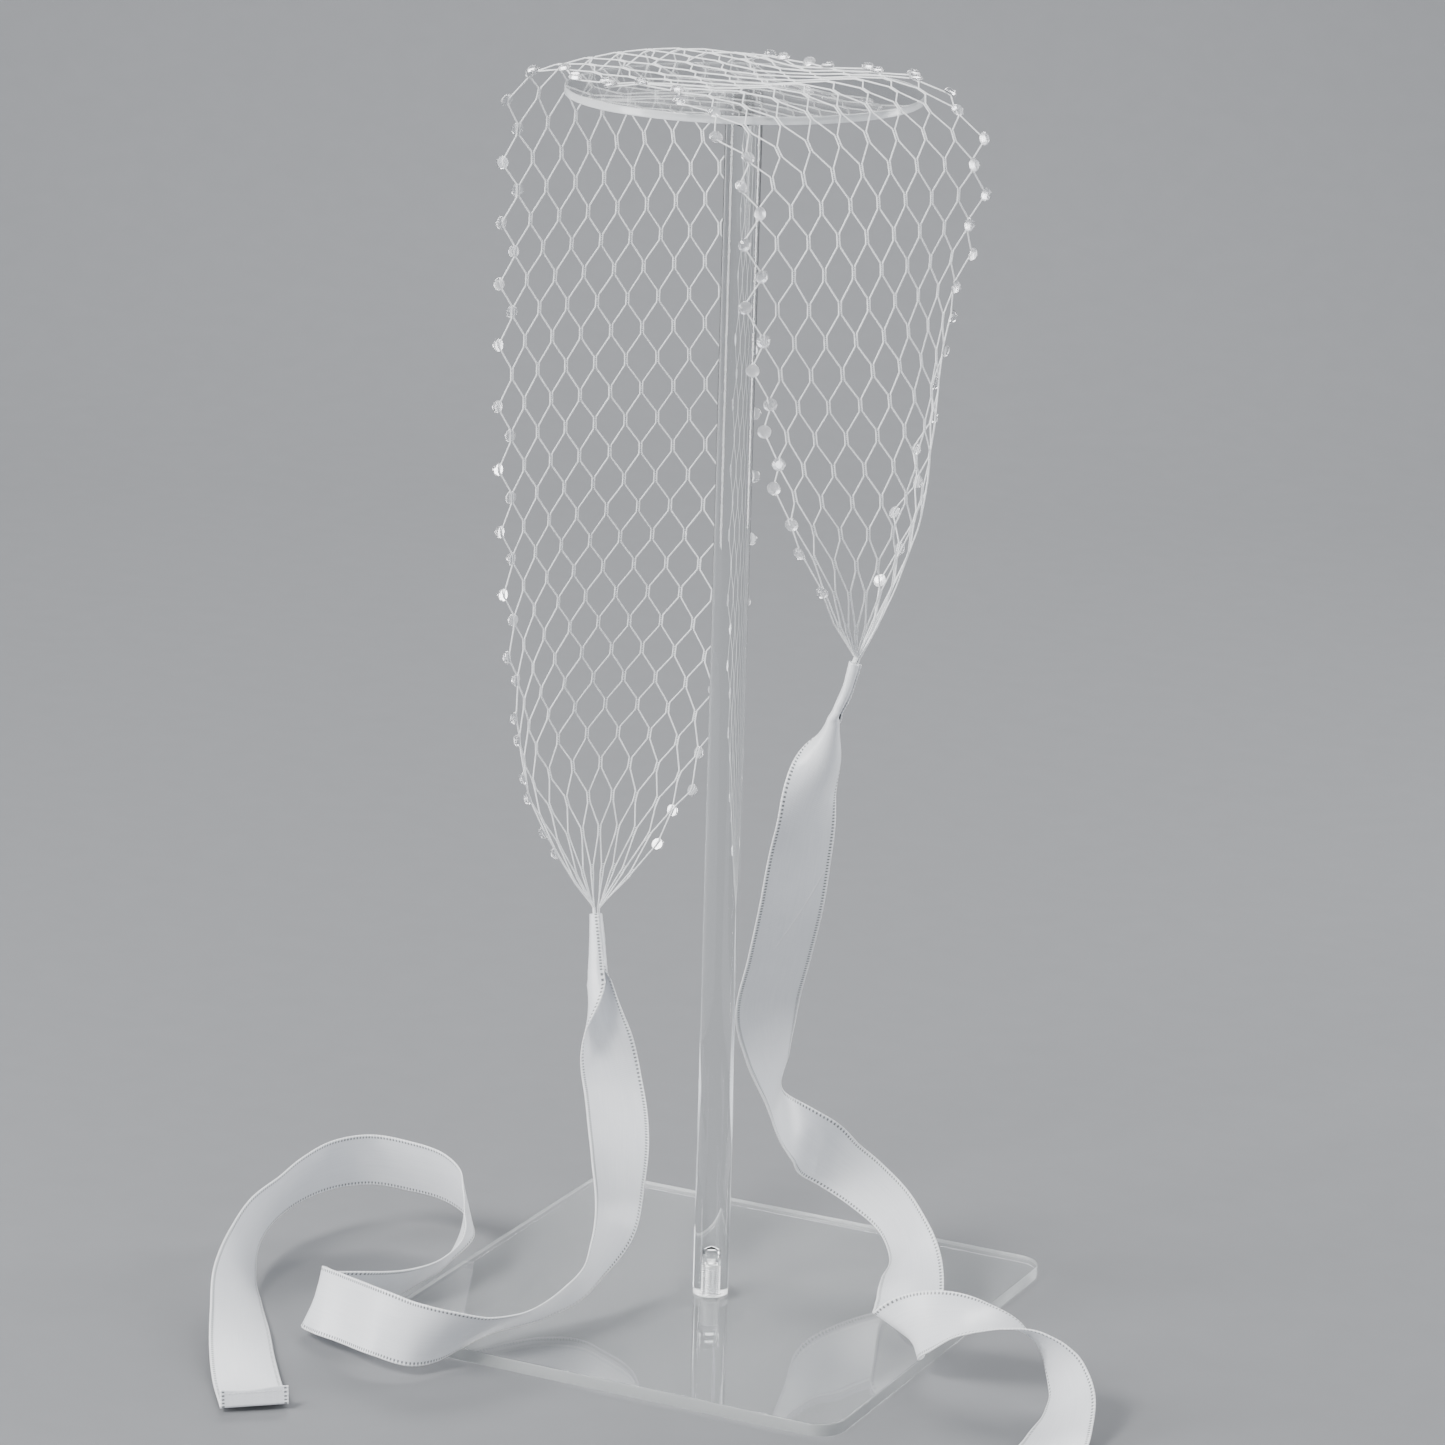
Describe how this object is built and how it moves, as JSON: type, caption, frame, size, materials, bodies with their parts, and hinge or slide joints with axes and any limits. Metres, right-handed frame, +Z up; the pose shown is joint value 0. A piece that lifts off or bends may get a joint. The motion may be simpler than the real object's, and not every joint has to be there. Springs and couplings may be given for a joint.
{
  "type": "bridal veil on a display stand",
  "caption": "Net bridal veil with crystal edging and satin ribbon ties, draped over a clear disc-topped display stand.",
  "frame": {"origin": "middle of the base's underside, on the surface that the stand rests on", "axes": "+Z up the rod, +X and +Y along the square base's sides; the picture looks from +X and -Y"},
  "size_m": [0.3657, 0.2888, 0.4861],
  "materials": {
    "clear_acrylic": "clear, polished faces and bright edges",
    "steel": "plain threaded steel",
    "net_thread": "matt white net thread",
    "satin_ribbon": "white satin with a fine selvedge"
  },
  "bodies": {
    "root": {"stand_base": "clear_acrylic", "stand_rod": "clear_acrylic", "stand_disc": "clear_acrylic", "stand_peg": "clear_acrylic", "stand_stud": "steel", "net_long_drop": "net_thread", "net_crown": "net_thread", "net_short_drop": "net_thread", "long_ribbon_collar": "satin_ribbon", "long_ribbon_fall": "satin_ribbon", "long_ribbon_curl": "satin_ribbon", "long_ribbon_arch": "satin_ribbon", "long_ribbon_hem": "satin_ribbon", "short_ribbon_collar": "satin_ribbon", "short_ribbon_fall": "satin_ribbon", "short_ribbon_turn": "satin_ribbon", "short_ribbon_tail": "satin_ribbon", "short_ribbon_hem": "satin_ribbon"}
  },
  "joints": []
}
